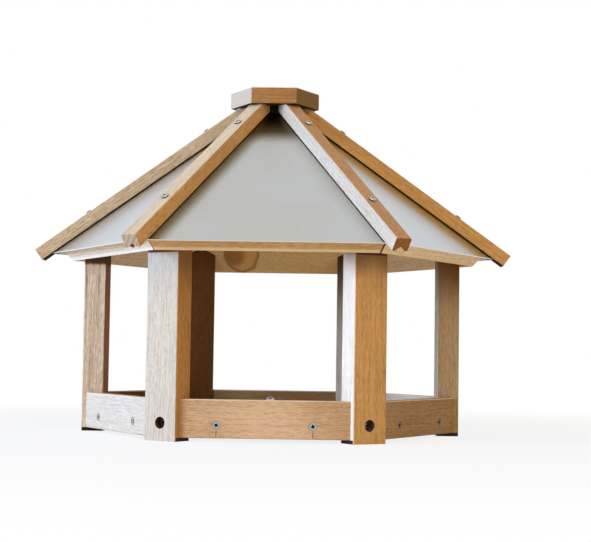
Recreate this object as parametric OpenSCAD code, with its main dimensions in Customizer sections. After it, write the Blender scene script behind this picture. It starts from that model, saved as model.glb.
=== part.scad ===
// Hexagonal bird feeding house: a seed tray on six posts under a six-sided metal roof.
// Millimetres, +Z up. The origin is on the centre line, at the level where the feet stand.
// The six corners lie at 0, 60, 120 ... degrees. Side k lies between corner k and corner k + 1,
// so its outward direction is 60 * k + 30 degrees. The front side is side 4, towards -Y.
// The roof is worked out from one plane per side, the underside of the eave board, and every
// post head, board, sheet, batten and the peak block is cut from that same plane.

/* [House] */
// Centre line to the outward face of a post
post_ring_r = 218; // [205:1:235]
// Feet to the lower outer edge of the eave boards
eave_h = 197; // [175:1:230]
// Pitch of the roof, in degrees
roof_pitch = 39.7; // [36:0.1:42]
// Clearance between wooden faces that meet
joint_gap = 0.2; // [0.1:0.05:0.4]
// Clearance between a metal face and what it lies on
seat_gap = 0.15; // [0.1:0.05:0.3]

/* [Posts] */
// Width of a post, across its corner
post_w = 40; // [34:1:46]
// Depth of a post, towards the centre line
post_d = 25; // [22:1:32]
// Small chamfer on the long edges of a post
post_arris = 0.8; // [0.4:0.1:1.5]

/* [Tray] */
// Feet to the lower edge of the rails
foot_h = 4; // [2:0.5:8]
// Height of a rail
rail_h = 40; // [36:1:60]
// Thickness of a rail
rail_t = 16; // [13:1:19]
// How far a rail's face stands back from the outer edges of the posts
rail_setback = 4.8; // [3:0.2:7]
// Small chamfer on the long edges of a rail
rail_arris = 0.8; // [0.4:0.1:1.5]
// Lower edge of the rails to the underside of the floor
floor_lift = 4.5; // [3:0.5:8]
// Thickness of the floor board
floor_t = 18; // [15:1:22]

/* [Eave boards] */
// Thickness of an eave board
board_t = 21; // [18:1:24]
// Width of an eave board, measured up the slope
board_w = 95; // [75:1:110]
// How far the lower edge of the boards stands out from the outer edges of the posts
board_overhang = 4.2; // [2:0.2:10]
// Chamfer on the lower outer edge of a board
board_chamfer = 1; // [0.6:0.1:3]

/* [Roof sheets] */
// Thickness of a roof sheet
sheet_t = 1.2; // [0.8:0.1:2]
// How far a sheet runs out past the edge of its board, along the slope
sheet_overhang = 11.5; // [6:0.5:16]
// Open strip between two sheets along a hip
sheet_strip = 6; // [5:0.5:9]
// Centre line to the upper edge of a sheet
sheet_top_a = 26; // [23:1:32]

/* [Ridge battens] */
// Width of a batten
batten_w = 18.5; // [16:0.5:24]
// Height of a batten's sides
batten_h = 16; // [14:0.5:22]
// Depth of the groove along the underside
batten_groove = 5.8; // [4.5:0.1:7]
// Width of each foot beside the groove
batten_foot = 2.4; // [1.5:0.1:3]
// Height and depth of the shadow gap along each lower edge
batten_relief = 1.2; // [0.6:0.1:2]
// Small chamfer on the upper edges of a batten
batten_arris = 0.8; // [0.4:0.1:1.5]
// How far a batten's square lower end runs past the corner of the sheets, along the hip
batten_overrun = 12.6; // [6:0.2:24]
// Centre line to the upper end of a batten
batten_head_r = 26; // [23:1:34]

/* [Cap and peak block] */
// Centre line to a corner of the cap
cap_r = 52; // [46:1:60]
// Thickness of the cap
cap_t = 19; // [14:1:24]
// Roof apex down to the underside of the cap
cap_drop = 12.3; // [10.5:0.1:14]
// Chamfer round the upper edge of the cap
cap_arris = 1.2; // [0.6:0.1:2.5]
// Centre line to the flats of the peak block
block_a = 74; // [72:1:90]
// Height of the peak block's upright sides
block_side_h = 28; // [24:1:36]

/* [Screws] */
// Diameter of every screw's shank
shank_d = 4; // [3.5:0.1:4.5]
// Radial clearance round a shank
shank_gap = 0.2; // [0.1:0.05:0.4]
// Head diameter of the countersunk screws
csk_head_d = 8.6; // [8:0.1:9.5]
// How far a countersunk head lies below the wood
csk_sink = 0.3; // [0.2:0.05:0.6]
// Head diameter of the pan-head screws
pan_head_d = 7.6; // [7:0.1:8.4]
// Height of a pan head
pan_head_h = 2.8; // [2.4:0.1:3.4]
// Length of the rail screws
rail_screw_l = 45; // [35:1:55]
// Distance between the two screws of a rail
rail_screw_pitch = 100; // [80:1:120]
// Length of the post screws, under the head
post_screw_l = 45; // [35:1:50]
// Post screws above the middle of the floor board
post_screw_rise = 1.5; // [0:0.5:3]
// Diameter of the counterbore in a post
bore_d = 12.5; // [11:0.1:14]
// Depth of the counterbore in a post
bore_depth = 9; // [8:0.5:15]
// Length of the eave board screws
board_screw_l = 40; // [32:1:45]
// Eave board screws in from the outward face of a post
board_screw_in = 6; // [5:0.5:9]
// Eave board screws beside the middle of a post
board_screw_side = 12; // [11:0.5:14]
// Length of the batten screws, under the head
batten_screw_l = 35; // [30:1:37]
// Upper screw of a batten in from the corner of the peak block, along the hip
batten_screw_in = 17.2; // [13:0.2:22]
// Lower screw of a batten up from the batten's lower end
batten_screw_up = 76; // [60:1:90]
// Length of the cap screw
cap_screw_l = 50; // [40:1:60]

/* [Pole fixing] */
// Nominal diameter of the pole's stud
stud_d = 6; // [5:1:8]
// Radial clearance of the stud in the floor board
stud_gap = 0.5; // [0.4:0.1:0.8]
// Outer diameter of the washer under the dome nut
washer_d = 18; // [16:1:24]
// Thickness of the washer
washer_t = 1.6; // [1.2:0.1:2]
// Width across flats of the dome nut
nut_af = 10; // [10:1:13]
// Height of the dome nut
nut_h = 13.4; // [12:0.2:15]

/* [Hidden] */
$fn = 48;

oak = "burlywood";
oak_shade = "peru";
zinc = "darkgray";
steel = "gainsboro";

SIDES = [0, 1, 2, 3, 4, 5];
side_turn = 60;
half_turn = side_turn / 2;

// Plan, with a for the distance from the centre line square to a side
post_edge_a = post_ring_r * cos(half_turn) + post_w / 2 * sin(half_turn);
post_back_r = post_ring_r - post_d;
rail_face_a = post_edge_a - rail_setback;
rail_back_a = rail_face_a - rail_t;
floor_a = rail_back_a - joint_gap;
floor_corner_a = post_back_r - joint_gap;

// Heights of the tray
floor_z = foot_h + floor_lift;
floor_top_z = floor_z + floor_t;
rail_screw_z = floor_z + floor_t / 2;
post_screw_z = rail_screw_z + post_screw_rise;

// Roof: the boards' underside starts at board_edge_a, eave_h and rises to the middle
board_edge_a = post_edge_a + board_overhang;
apex_z = eave_h + board_edge_a * tan(roof_pitch) + board_t / cos(roof_pitch);
hip_pitch = atan(tan(roof_pitch) * cos(half_turn));
hip_fall = atan(sin(hip_pitch) * tan(half_turn));
board_corner_a = board_edge_a + board_t * sin(roof_pitch);
sheet_slope_l = (board_corner_a - sheet_top_a) / cos(roof_pitch);
cap_z = apex_z - cap_drop;
block_z = apex_z - block_a * tan(roof_pitch) - block_side_h;

// Places along a hip, from the apex down
hip_per_a = 1 / (cos(half_turn) * cos(hip_pitch));
sheet_corner_y = (board_corner_a + sheet_overhang * cos(roof_pitch)) * hip_per_a;
batten_end_y = sheet_corner_y + batten_overrun;
batten_screw_upper_y = block_a * hip_per_a - batten_screw_in;
batten_screw_lower_y = batten_end_y - batten_screw_up;

// Cross-section of a batten, with its height counted from the hip of the boards' upper faces
foot_seat = (sheet_t + 2 * seat_gap) / cos(hip_fall);
batten_edge_z = foot_seat - batten_w / 2 * tan(hip_fall);
batten_top_z = batten_edge_z + batten_h;
relief_z = batten_edge_z + batten_relief;
groove_z = batten_edge_z + batten_groove;
foot_tip_x = batten_w / 2 - batten_relief;
foot_heel_x = foot_tip_x - batten_foot;
foot_tip_z = foot_seat - foot_tip_x * tan(hip_fall);
foot_heel_z = foot_seat - foot_heel_x * tan(hip_fall);

// Screws
pilot_d = shank_d + 2 * shank_gap;
csk_rim = 0.5;
csk_cone = (csk_head_d - shank_d) / 2;
screw_tip = shank_d;
recess_arm = 1;
recess_depth = 1.5;
recess_share = 0.56;
pan_rim_h = pan_head_h * 0.3;
pan_dome_h = pan_head_h - pan_rim_h;
pan_dome_r = (pow(pan_head_d / 2, 2) + pow(pan_dome_h, 2)) / (2 * pan_dome_h);
nut_dome_r = nut_af * 0.475;
nut_hex_h = nut_h * 0.46;
nut_thread_l = nut_h * 0.75;
board_screw_r = post_ring_r - board_screw_in;
board_screw_a = board_screw_r * cos(half_turn) + board_screw_side * sin(half_turn);
board_screw_x = board_screw_r * sin(half_turn) - board_screw_side * cos(half_turn);
board_screw_y = (board_edge_a - board_screw_a) / cos(roof_pitch);
bore_floor_r = post_ring_r - bore_depth;

// Sizes of the blocks that cuts are made with
reach = 2 * post_ring_r;
tall = apex_z + cap_t;
nick = 1;

// Half the length of a rail at distance a, from the side faces of its two posts
function rail_half(a) = (a * sin(half_turn) - post_w / 2 - joint_gap) / cos(half_turn);

// A rectangle from [0, 0] to [w, h] with all four corners cut by c
module chamfered(w, h, c) {
  polygon([[c, 0], [w - c, 0], [w, c], [w, h - c], [w - c, h], [c, h], [0, h - c], [0, c]]);
}

// Turned so that X points out of side k
module facing(k) {
  rotate([0, 0, side_turn * k + half_turn]) children();
}

// Turned so that X points out through corner k
module at_corner(k) {
  rotate([0, 0, side_turn * k]) children();
}

// The roof plane of side k: X runs along the eave, Y up the slope and Z out of the roof.
// The origin is the middle of the eave board's lower outer edge.
module on_roof(k) {
  facing(k)
    rotate([0, 0, 90])
      translate([0, -board_edge_a, eave_h])
        rotate([roof_pitch, 0, 0]) children();
}

// The hip over corner k: X runs across it, Y down along it and Z out of it, from the apex
module on_hip(k) {
  at_corner(k)
    rotate([0, 0, -90])
      translate([0, 0, apex_z])
        rotate([-hip_pitch, 0, 0]) children();
}

// The sixth of the plan that belongs to side k, kept gap / 2 away from each mitre
module sector(k, gap) {
  far = reach - gap;
  facing(k)
    linear_extrude(tall)
      polygon([[gap, 0], [reach, -far * tan(half_turn)], [reach, far * tan(half_turn)]]);
}

// Everything under the eave board of side k
module under_board(k) {
  on_roof(k)
    translate([-reach, -reach, -tall - joint_gap]) cube([2 * reach, 2 * reach, tall]);
}

// A hexagonal prism with its flats facing the six sides, a from the centre line
module hexagon(a, h) {
  linear_extrude(h) circle(r = a / cos(half_turn), $fn = 6);
}

// The cross recess of a screw head, cut down from the top of the head
module cross_recess(head_d) {
  for (turn = [0, 90])
    rotate([0, 0, turn])
      translate([-head_d * recess_share / 2, -recess_arm / 2, -recess_depth])
        cube([head_d * recess_share, recess_arm, recess_depth + nick]);
}

// A countersunk screw that points down, its head's face at the origin
module csk_screw(len) {
  difference() {
    rotate_extrude()
      polygon([
        [0, 0],
        [csk_head_d / 2, 0],
        [csk_head_d / 2, -csk_rim],
        [shank_d / 2, -csk_rim - csk_cone],
        [shank_d / 2, screw_tip - len],
        [0, -len]
      ]);
    cross_recess(csk_head_d);
  }
}

// The hole for a countersunk screw: it opens at the origin and runs down past the tip
module csk_hole(len) {
  head_r = csk_head_d / 2 + shank_gap;
  translate([0, 0, -len - nick]) cylinder(h = len + nick, d = pilot_d);
  rotate_extrude()
    polygon([
      [0, nick],
      [head_r, nick],
      [head_r, -csk_sink - csk_rim],
      [pilot_d / 2, -csk_sink - csk_rim - csk_cone],
      [0, -csk_sink - csk_rim - csk_cone]
    ]);
}

// A pan-head screw that points down, the underside of its head at the origin
module pan_screw(len) {
  difference() {
    union() {
      cylinder(h = pan_rim_h, d = pan_head_d);
      intersection() {
        cylinder(h = pan_head_h, d = pan_head_d);
        translate([0, 0, pan_head_h - pan_dome_r]) sphere(pan_dome_r);
      }
      rotate_extrude()
        polygon([
          [0, pan_rim_h / 2],
          [shank_d / 2, pan_rim_h / 2],
          [shank_d / 2, screw_tip - len],
          [0, -len]
        ]);
    }
    translate([0, 0, pan_head_h]) cross_recess(pan_head_d);
  }
}

// A plain hole for a shank, from the origin down past the tip
module pilot(len) {
  translate([0, 0, -len - nick]) cylinder(h = len + 2 * nick, d = pilot_d);
}

// The two places of a rail's screws on side k, with Z out of the rail's face
module rail_screw_places(k) {
  facing(k)
    for (s = [-1, 1])
      translate([rail_face_a, s * rail_screw_pitch / 2, rail_screw_z]) rotate([0, 90, 0]) children();
}

// The place of a post's screw at corner k, with Z out of the floor of the counterbore
module post_screw_place(k) {
  at_corner(k)
    translate([bore_floor_r, 0, post_screw_z]) rotate([0, 90, 0]) children();
}

// The two places of an eave board's screws on side k, with Z out of the board's upper face
module board_screw_places(k) {
  on_roof(k)
    for (s = [-1, 1])
      translate([s * board_screw_x, board_screw_y, board_t]) children();
}

// The two places of a batten's screws over corner k, with Z out of the batten's upper face
module batten_screw_places(k) {
  on_hip(k)
    for (y = [batten_screw_upper_y, batten_screw_lower_y])
      translate([0, y, batten_top_z]) children();
}

// Floor of the tray: a hexagon whose corners are cut square where the posts stand
module tray_floor() {
  color(oak)
    difference() {
      translate([0, 0, floor_z])
        intersection() {
          hexagon(floor_a, floor_t);
          rotate([0, 0, half_turn]) hexagon(floor_corner_a, floor_t);
        }
      cylinder(h = tall, r = stud_d / 2 + stud_gap);
      for (k = SIDES) {
        rail_screw_places(k) pilot(rail_screw_l);
        post_screw_place(k) pilot(post_screw_l);
      }
    }
}

// Rail of side k, mitred to the side faces of its two posts
module rail(k) {
  near = rail_back_a - nick;
  far = rail_face_a + nick;
  color(oak)
    difference() {
      facing(k)
        intersection() {
          translate([rail_back_a, reach / 2, foot_h])
            rotate([90, 0, 0]) linear_extrude(reach) chamfered(rail_t, rail_h, rail_arris);
          linear_extrude(tall)
            polygon([
              [near, -rail_half(near)],
              [far, -rail_half(far)],
              [far, rail_half(far)],
              [near, rail_half(near)]
            ]);
        }
      rail_screw_places(k) csk_hole(rail_screw_l);
    }
}

// Post at corner k: its head fits under the mitre of two eave boards
module post(k) {
  color(oak)
    difference() {
      intersection() {
        at_corner(k)
          translate([post_back_r, -post_w / 2, 0])
            linear_extrude(tall) chamfered(post_d, post_w, post_arris);
        under_board(k);
        under_board(k - 1);
      }
      post_screw_place(k) {
        pilot(post_screw_l);
        cylinder(h = bore_depth + nick, d = bore_d);
      }
      board_screw_places(k) pilot(board_screw_l);
      board_screw_places(k - 1) pilot(board_screw_l);
    }
}

// Eave board of side k: it lies in the slope, is mitred at both ends and has a square outer edge
module eave_board(k) {
  color(oak)
    difference() {
      intersection() {
        on_roof(k)
          translate([-reach / 2, 0, 0])
            rotate([90, 0, 90])
              linear_extrude(reach)
                polygon([
                  [board_chamfer, 0],
                  [board_w, 0],
                  [board_w, board_t],
                  [0, board_t],
                  [0, board_chamfer]
                ]);
        sector(k, joint_gap);
      }
      board_screw_places(k) csk_hole(board_screw_l);
      batten_screw_places(k) pilot(batten_screw_l);
      batten_screw_places(k + 1) pilot(batten_screw_l);
    }
}

// Roof sheet of side k: it lies on the board and on the peak block, and stops short of the hips
module roof_sheet(k) {
  color(zinc)
    intersection() {
      on_roof(k)
        translate([-reach / 2, -sheet_overhang, board_t + seat_gap])
          cube([reach, sheet_overhang + sheet_slope_l, sheet_t]);
      sector(k, sheet_strip);
    }
}

// Batten over corner k: two narrow feet stand on the sheets, between the groove that spans the hip
// and a shadow gap along each lower edge
module ridge_batten(k) {
  color(oak_shade)
    difference() {
      intersection() {
        on_hip(k)
          translate([0, batten_end_y, 0])
            rotate([90, 0, 0])
              linear_extrude(batten_end_y)
                polygon([
                  [-batten_w / 2, relief_z],
                  [-foot_tip_x, relief_z],
                  [-foot_tip_x, foot_tip_z],
                  [-foot_heel_x, foot_heel_z],
                  [0, groove_z],
                  [foot_heel_x, foot_heel_z],
                  [foot_tip_x, foot_tip_z],
                  [foot_tip_x, relief_z],
                  [batten_w / 2, relief_z],
                  [batten_w / 2, batten_top_z - batten_arris],
                  [batten_w / 2 - batten_arris, batten_top_z],
                  [batten_arris - batten_w / 2, batten_top_z],
                  [-batten_w / 2, batten_top_z - batten_arris]
                ]);
        at_corner(k)
          translate([batten_head_r, -reach / 2, 0]) cube([reach, reach, cap_z - joint_gap]);
      }
      batten_screw_places(k) pilot(batten_screw_l);
    }
}

// Peak block: carries the sheets' upper ends, the battens' upper screws and the cap
module peak_block() {
  color(oak_shade)
    difference() {
      intersection() {
        translate([0, 0, block_z]) hexagon(block_a, cap_z - joint_gap - block_z);
        under_sheets();
      }
      for (k = SIDES) batten_screw_places(k) pilot(batten_screw_l);
      translate([0, 0, cap_z + cap_t]) pilot(cap_screw_l);
    }
}

// Everything under the sheets of all six sides
module under_sheets() {
  intersection_for(k = SIDES)
    on_roof(k)
      translate([-reach, -reach, board_t - tall]) cube([2 * reach, 2 * reach, tall]);
}

// Cap over the upper ends of the battens: six equal flats with a chamfer round the upper edge
module roof_cap() {
  cap_a = cap_r * cos(half_turn);
  color(oak)
    difference() {
      translate([0, 0, cap_z])
        intersection_for(k = SIDES)
          facing(k)
            rotate([90, 0, 0])
              linear_extrude(reach, center = true)
                polygon([
                  [-reach, 0],
                  [cap_a, 0],
                  [cap_a, cap_t - cap_arris],
                  [cap_a - cap_arris, cap_t],
                  [-reach, cap_t]
                ]);
      translate([0, 0, cap_z + cap_t]) csk_hole(cap_screw_l);
    }
}

// Two countersunk screws per rail, into the edge of the floor
module rail_screws() {
  color(steel)
    for (k = SIDES) rail_screw_places(k) translate([0, 0, -csk_sink]) csk_screw(rail_screw_l);
}

// One pan-head screw per post, deep in its counterbore, into a cut corner of the floor
module post_screws() {
  color(steel)
    for (k = SIDES) post_screw_place(k) translate([0, 0, seat_gap]) pan_screw(post_screw_l);
}

// Two countersunk screws per eave board, down into the heads of the posts
module eave_board_screws() {
  color(steel)
    for (k = SIDES) board_screw_places(k) translate([0, 0, -csk_sink]) csk_screw(board_screw_l);
}

// Two pan-head screws per batten, the upper into the peak block and the lower into the mitre
module batten_screws() {
  color(steel)
    for (k = SIDES) batten_screw_places(k) translate([0, 0, seat_gap]) pan_screw(batten_screw_l);
}

// One countersunk screw down through the middle of the cap
module cap_screw() {
  color(steel)
    translate([0, 0, cap_z + cap_t - csk_sink]) csk_screw(cap_screw_l);
}

// Washer on the floor, round the hole for the pole's stud
module pole_washer() {
  color(steel)
    translate([0, 0, floor_top_z + seat_gap])
      difference() {
        cylinder(h = washer_t, d = washer_d);
        translate([0, 0, -nick]) cylinder(h = washer_t + 2 * nick, r = stud_d / 2 + shank_gap);
      }
}

// Dome nut for the pole's stud, closed at the top
module pole_dome_nut() {
  color(steel)
    translate([0, 0, floor_top_z + washer_t + 2 * seat_gap])
      difference() {
        union() {
          cylinder(h = nut_hex_h, d = nut_af / cos(half_turn), $fn = 6);
          cylinder(h = nut_h - nut_dome_r, r = nut_dome_r);
          translate([0, 0, nut_h - nut_dome_r]) sphere(nut_dome_r);
        }
        translate([0, 0, -nick]) cylinder(h = nick + nut_thread_l, d = stud_d);
      }
}

tray_floor();
rail(0);  // rail_back_right
rail(1);  // rail_back
rail(2);  // rail_back_left
rail(3);  // rail_front_left
rail(4);  // rail_front
rail(5);  // rail_front_right
post(0);  // post_right
post(1);  // post_back_right
post(2);  // post_back_left
post(3);  // post_left
post(4);  // post_front_left
post(5);  // post_front_right
eave_board(0);  // eave_board_back_right
eave_board(1);  // eave_board_back
eave_board(2);  // eave_board_back_left
eave_board(3);  // eave_board_front_left
eave_board(4);  // eave_board_front
eave_board(5);  // eave_board_front_right
roof_sheet(0);  // roof_sheet_back_right
roof_sheet(1);  // roof_sheet_back
roof_sheet(2);  // roof_sheet_back_left
roof_sheet(3);  // roof_sheet_front_left
roof_sheet(4);  // roof_sheet_front
roof_sheet(5);  // roof_sheet_front_right
ridge_batten(0);  // ridge_batten_right
ridge_batten(1);  // ridge_batten_back_right
ridge_batten(2);  // ridge_batten_back_left
ridge_batten(3);  // ridge_batten_left
ridge_batten(4);  // ridge_batten_front_left
ridge_batten(5);  // ridge_batten_front_right
peak_block();
roof_cap();
rail_screws();
post_screws();
eave_board_screws();
batten_screws();
cap_screw();
pole_washer();
pole_dome_nut();
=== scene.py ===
import math
import random

import bpy
from mathutils import Matrix, Vector


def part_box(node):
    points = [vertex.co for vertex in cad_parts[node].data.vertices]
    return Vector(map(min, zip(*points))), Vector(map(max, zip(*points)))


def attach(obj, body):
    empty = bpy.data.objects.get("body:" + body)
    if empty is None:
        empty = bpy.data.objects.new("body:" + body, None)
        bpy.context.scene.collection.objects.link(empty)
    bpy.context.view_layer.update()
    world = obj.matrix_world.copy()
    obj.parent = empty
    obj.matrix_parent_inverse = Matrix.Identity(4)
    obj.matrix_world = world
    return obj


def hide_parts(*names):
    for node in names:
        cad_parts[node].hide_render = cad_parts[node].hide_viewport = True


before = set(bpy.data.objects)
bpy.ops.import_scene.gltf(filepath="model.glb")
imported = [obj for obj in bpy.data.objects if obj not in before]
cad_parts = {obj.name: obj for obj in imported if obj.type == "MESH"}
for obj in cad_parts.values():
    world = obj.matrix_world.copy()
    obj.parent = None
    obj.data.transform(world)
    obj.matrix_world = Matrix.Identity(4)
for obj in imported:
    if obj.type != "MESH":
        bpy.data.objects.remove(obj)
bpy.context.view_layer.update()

# Bird feeding house: oak tray, posts, eave boards, battens and cap, with zinc roof sheets.
# Everything is in metres. Corners lie at 0, 60, 120 ... degrees from +X, and the front side
# faces -Y.

MM = 0.001
BODY = "root"
UP = Vector((0, 0, 1))
RIGHT = Vector((1, 0, 0))

# Sizes that the finish and the screws need, the same as in the solids
HALF_TURN = math.radians(30)
ROOF_PITCH = math.radians(39.7)
POST_RING_R = 218 * MM
POST_W = 40 * MM
FOOT_H = 4 * MM
BORE_DEPTH = 9 * MM
BORE_D = 12.5 * MM
RAIL_SETBACK = 4.8 * MM
RAIL_SCREW_PITCH = 100 * MM
RAIL_SCREW_Z = 17.5 * MM
POST_SCREW_RISE = 1.5 * MM
EAVE_H = 197 * MM
BOARD_OVERHANG = 4.2 * MM
BOARD_T = 21 * MM
BOARD_SCREW_IN = 6 * MM
BOARD_SCREW_SIDE = 12 * MM
SHEET_T = 1.2 * MM
SHEET_OVERHANG = 11.5 * MM
BATTEN_W = 18.5 * MM
BATTEN_H = 16 * MM
BATTEN_RELIEF = 1.2 * MM
BATTEN_OVERRUN = 12.6 * MM
BATTEN_SCREW_IN = 17.2 * MM
BATTEN_SCREW_UP = 76 * MM
BLOCK_A = 74 * MM
CAP_DROP = 12.3 * MM
CAP_T = 19 * MM
SEAT_GAP = 0.15 * MM
SHANK_D = 4 * MM
CSK_HEAD_D = 8.6 * MM
CSK_HEAD_H = 2.8 * MM
CSK_SINK = 0.3 * MM
CSK_RECESS_D = 5.4 * MM
CSK_RECESS_DEPTH = 2.6 * MM
PAN_HEAD_D = 7.6 * MM
PAN_HEAD_H = 2.8 * MM
PAN_RECESS_D = 4.8 * MM
PAN_RECESS_DEPTH = 2.2 * MM
RAIL_SCREW_L = 45 * MM
POST_SCREW_L = 45 * MM
BOARD_SCREW_L = 40 * MM
BATTEN_SCREW_L = 35 * MM
CAP_SCREW_L = 50 * MM

# An A is a distance from the centre line, square to a side
POST_EDGE_A = POST_RING_R * math.cos(HALF_TURN) + POST_W / 2 * math.sin(HALF_TURN)
RAIL_FACE_A = POST_EDGE_A - RAIL_SETBACK
BOARD_EDGE_A = POST_EDGE_A + BOARD_OVERHANG
BOARD_CORNER_A = BOARD_EDGE_A + BOARD_T * math.sin(ROOF_PITCH)
BOARD_APEX_Z = EAVE_H + BOARD_EDGE_A * math.tan(ROOF_PITCH)
APEX_Z = BOARD_APEX_Z + BOARD_T / math.cos(ROOF_PITCH)
HIP_PITCH = math.atan(math.tan(ROOF_PITCH) * math.cos(HALF_TURN))
HIP_FALL = math.atan(math.sin(HIP_PITCH) * math.tan(HALF_TURN))
HIP_PER_A = 1 / (math.cos(HALF_TURN) * math.cos(HIP_PITCH))
BATTEN_SEAT = (SHEET_T + 2 * SEAT_GAP) / math.cos(HIP_FALL) - BATTEN_W / 2 * math.tan(HIP_FALL)
BATTEN_TOP = BATTEN_SEAT + BATTEN_H
BATTEN_END = (BOARD_CORNER_A + SHEET_OVERHANG * math.cos(ROOF_PITCH)) * HIP_PER_A + BATTEN_OVERRUN

SIDES = ("back_right", "back", "back_left", "front_left", "front", "front_right")
CORNERS = ("right", "back_right", "back_left", "left", "front_left", "front_right")


# Directions on the house

def outward(degrees):
    """The level direction that points out of the house at this angle."""
    return Vector((math.cos(math.radians(degrees)), math.sin(math.radians(degrees)), 0))


def side_angle(k):
    return 60 * k + 30


def corner_angle(k):
    return 60 * k


def up_slope(degrees, pitch):
    """From the eave towards the apex, lying in a roof plane or along a hip."""
    return UP * math.sin(pitch) - outward(degrees) * math.cos(pitch)


# Node trees

class Tree:
    """A node tree with one short call for each kind of node. A value may be a number or another
    node's output."""

    def __init__(self, tree):
        self.tree = tree

    def give(self, socket, value):
        if isinstance(value, bpy.types.NodeSocket):
            self.tree.links.new(value, socket)
        elif value is not None:
            socket.default_value = value

    def add(self, kind, values=None, **settings):
        node = self.tree.nodes.new(kind)
        for key, value in settings.items():
            setattr(node, key, value)
        for key, value in (values or {}).items():
            self.give(node.inputs[key], value)
        return node

    def math(self, operation, a, b=None, c=None):
        return self.add("ShaderNodeMath", {0: a, 1: b, 2: c}, operation=operation).outputs[0]

    def plus(self, a, b):
        return self.math("ADD", a, b)

    def minus(self, a, b):
        return self.math("SUBTRACT", a, b)

    def times(self, a, b):
        return self.math("MULTIPLY", a, b)

    def times_plus(self, a, b, c):
        return self.math("MULTIPLY_ADD", a, b, c)

    def absolute(self, a):
        return self.math("ABSOLUTE", a)

    def off_axis(self, a, b):
        """How far a place is from an axis, by how far it is from it in two square directions."""
        return self.math("SQRT", self.times_plus(a, a, self.times(b, b)))

    def vector(self, operation, a, b=None, result=0):
        node = self.add("ShaderNodeVectorMath", {0: a, 1: b}, operation=operation)
        return node.outputs[result]

    def upward(self, height):
        """A vector straight up."""
        return self.add("ShaderNodeCombineXYZ", {"Z": height}).outputs[0]

    def mix(self, share, a, b):
        """A colour from a, at a share of 0, to b, at 1."""
        return self.add("ShaderNodeMix", {0: share, 6: a, 7: b}, data_type="RGBA").outputs[2]

    def seen(self):
        """1 for what the eye sees straight, in a gloss or through glass, and 0 for light alone."""
        rays = self.add("ShaderNodeLightPath").outputs
        seen = self.math("MAXIMUM", rays["Is Camera Ray"], rays["Is Glossy Ray"])
        return self.math("MAXIMUM", seen, rays["Is Transmission Ray"])


# A ring texture of scale 1 has its rings this far apart
RING_STEP = 0.31


class Finish(Tree):
    """A material's node tree, which ends in one Principled surface."""

    def __init__(self, name):
        self.material = bpy.data.materials.new(name)
        self.material.use_nodes = True
        super().__init__(self.material.node_tree)
        self.surface = self.tree.nodes["Principled BSDF"]
        coords = self.add("ShaderNodeTexCoord")
        self.place = coords.outputs["Object"]
        self.normal = coords.outputs["Normal"]

    def set(self, name, value):
        self.give(self.surface.inputs[name], value)

    def between(self, value, low, high, to_low=0.0, to_high=1.0):
        """value from low to high, taken smoothly to to_low and to_high and held there beyond."""
        return self.add("ShaderNodeMapRange", {
            "Value": value, "From Min": low, "From Max": high, "To Min": to_low, "To Max": to_high,
        }, interpolation_type="SMOOTHSTEP").outputs[0]

    def noise(self, vector, scale, detail=2.0, roughness=0.5):
        """Soft noise. scale is one number, or three for a pattern that is longer one way."""
        if isinstance(scale, tuple):
            vector, scale = self.vector("MULTIPLY", vector, scale), 1.0
        return self.add("ShaderNodeTexNoise", {
            "Vector": vector, "Scale": scale, "Detail": detail, "Roughness": roughness,
        }).outputs["Fac"]

    def growth_rings(self, vector, apart):
        """From 0 to 1 across each growth ring, round the line y = z = 0. Lengths in millimetres."""
        return self.add("ShaderNodeTexWave", {
            "Vector": vector, "Scale": RING_STEP / apart,
            "Distortion": 1.8, "Detail": 3.0, "Detail Scale": 0.22,
        }, wave_type="RINGS", rings_direction="X", wave_profile="SAW").outputs["Fac"]

    def bump(self, height, distance):
        return self.add("ShaderNodeBump", {"Height": height, "Distance": distance}).outputs[0]

    def distance_to(self, point):
        return self.vector("DISTANCE", self.place, point, result="Value")

    def along(self, vector, direction):
        """How far a place or normal reaches in a direction."""
        return self.vector("DOT_PRODUCT", vector, direction, result="Value")

    def facing(self, direction, low, high, to_low=0.0, to_high=1.0):
        """between, of how squarely the surface faces a direction: 1 is fully, -1 is fully away."""
        return self.between(self.along(self.normal, direction), low, high, to_low, to_high)

    def reaching(self, direction, low, high, to_low=0.0, to_high=1.0):
        """between, of how far a place reaches in a direction."""
        return self.between(self.along(self.place, direction), low, high, to_low, to_high)

    def below_boards(self, corner):
        """How far a place on a post lies under the boards that meet over its corner."""
        apart = [self.along(self.place, outward(corner + turn)) for turn in (-30, 30)]
        fall = self.times(self.math("MAXIMUM", *apart), math.tan(ROOF_PITCH))
        return self.minus(self.minus(BOARD_APEX_Z, fall), self.along(self.place, UP))


def screen(r, g, b):
    """A colour as seen on a screen, 0 to 255, as the linear values that a shader takes."""
    def linear(v):
        v = v / 255
        return v / 12.92 if v <= 0.04045 else ((v + 0.055) / 1.055) ** 2.4
    return (linear(r), linear(g), linear(b), 1.0)


def darker(colour, share):
    """The same stuff darker and redder, as wood is in its streaks and pores."""
    r, g, b, a = colour
    return (r * share, g * share ** 1.25, b * share ** 1.5, a)


# Oak

# The boards that the house was cut from differ in tone. Some tones are also picked as painted
# light or painted shade, as said where they are given
OAKS = {
    "chalk": screen(236, 222, 206),
    "straw": screen(233, 206, 175),
    "cream": screen(254, 234, 196),
    "honey": screen(255, 224, 162),
    "sand": screen(207, 176, 142),
    "wheat": screen(197, 160, 123),
    "ash": screen(194, 167, 134),
    "tan": screen(214, 172, 118),
    "golden": screen(207, 163, 108),
    "amber": screen(187, 139, 80),
    "drab": screen(172, 146, 112),
    "brown": screen(166, 132, 90),
    "umber": screen(156, 121, 78),
    "russet": screen(162, 113, 62),
    "heart": screen(132, 93, 50),
    # Painted shade: near black for the peak block
    "shade_black": screen(44, 31, 22),
}
# How far apart the growth rings lie along the grain and on cut ends, in millimetres
RINGS_APART = 3.1
END_RINGS_APART = 5.0

# Painted light: the pale oak of faces that the cool light falls on
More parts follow.
